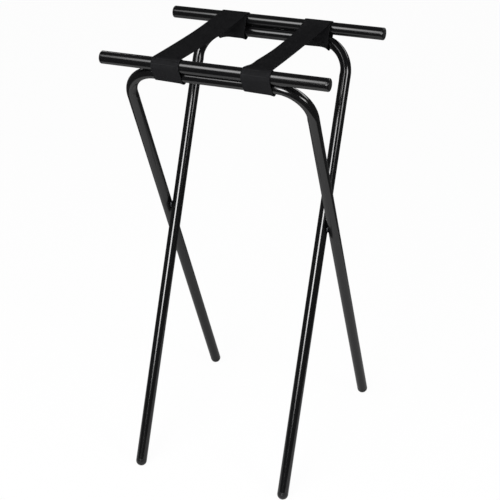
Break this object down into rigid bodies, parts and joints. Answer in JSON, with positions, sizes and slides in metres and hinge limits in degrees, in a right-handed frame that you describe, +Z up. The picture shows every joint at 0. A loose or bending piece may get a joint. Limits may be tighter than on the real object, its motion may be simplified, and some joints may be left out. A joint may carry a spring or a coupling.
{
  "type": "folding tray stand",
  "caption": "Folding stand of two crossed U frames in black steel tube, with round top bars and webbing straps that carry a serving tray.",
  "frame": {"origin": "on the floor, midway between the four feet, below the pivot", "axes": "+Z up, X along the top bars, with the wider outer frame's bar on the -Y side"},
  "size_m": [0.406, 0.413, 0.7889],
  "materials": {
    "coated_tube": "gloss black powder coat",
    "coated_bar": "gloss black powder coat",
    "coated_weld": "gloss black powder coat over weld",
    "bar_plug": "moulded satin",
    "foot": "moulded satin",
    "rivet": "black oxide",
    "washer": "zinc plated",
    "webbing": "woven polypropylene webbing"
  },
  "bodies": {
    "outer_frame": {"outer_leg_frame": "coated_tube", "outer_top_bar": "coated_bar", "outer_weld_beads": "coated_weld", "outer_bar_plug_left": "bar_plug", "outer_bar_plug_right": "bar_plug", "outer_foot_left": "foot", "outer_foot_right": "foot", "strap_left_outer_loop": "webbing", "strap_right_outer_loop": "webbing", "pivot_rivet_left": "rivet", "pivot_rivet_right": "rivet", "pivot_washer_left": "washer", "pivot_washer_right": "washer"},
    "inner_frame": {"inner_leg_frame": "coated_tube", "inner_top_bar": "coated_bar", "inner_weld_beads": "coated_weld", "inner_bar_plug_left": "bar_plug", "inner_bar_plug_right": "bar_plug", "inner_foot_left": "foot", "inner_foot_right": "foot", "strap_left_inner_loop": "webbing", "strap_right_inner_loop": "webbing"},
    "strap_left_outer_span": {"strap_left_outer_span": "webbing"},
    "strap_right_outer_span": {"strap_right_outer_span": "webbing"},
    "strap_left_inner_span": {"strap_left_inner_span": "webbing"},
    "strap_right_inner_span": {"strap_right_inner_span": "webbing"}
  },
  "joints": [
    {"name": "fold", "type": "hinge", "parent": "outer_frame", "child": "inner_frame", "pos_m": [0, 0, 0.4538], "axis": [1, 0, 0], "range_deg": [0, 42.67]},
    {"name": "strap_left_outer_droop", "type": "hinge", "parent": "outer_frame", "child": "strap_left_outer_span", "pos_m": [0, -0.1425, 0.776], "axis": [1, 0, 0], "range_deg": [-66.31, 0], "deforming": ["strap_left_outer_span"]},
    {"name": "strap_right_outer_droop", "type": "hinge", "parent": "outer_frame", "child": "strap_right_outer_span", "pos_m": [0, -0.1425, 0.776], "axis": [1, 0, 0], "range_deg": [-65.1, 0], "deforming": ["strap_right_outer_span"]},
    {"name": "strap_left_inner_droop", "type": "hinge", "parent": "inner_frame", "child": "strap_left_inner_span", "pos_m": [0, 0.1425, 0.776], "axis": [1, 0, 0], "range_deg": [0, 66.31], "deforming": ["strap_left_inner_span"]},
    {"name": "strap_right_inner_droop", "type": "hinge", "parent": "inner_frame", "child": "strap_right_inner_span", "pos_m": [0, 0.1425, 0.776], "axis": [1, 0, 0], "range_deg": [0, 65.1], "deforming": ["strap_right_inner_span"]}
  ],
  "couplings": [
    {"joint": "strap_left_outer_droop", "follows": "fold", "ratio": -1.5515},
    {"joint": "strap_right_outer_droop", "follows": "fold", "ratio": -1.5231},
    {"joint": "strap_left_inner_droop", "follows": "fold", "ratio": 1.5515},
    {"joint": "strap_right_inner_droop", "follows": "fold", "ratio": 1.5231}
  ]
}
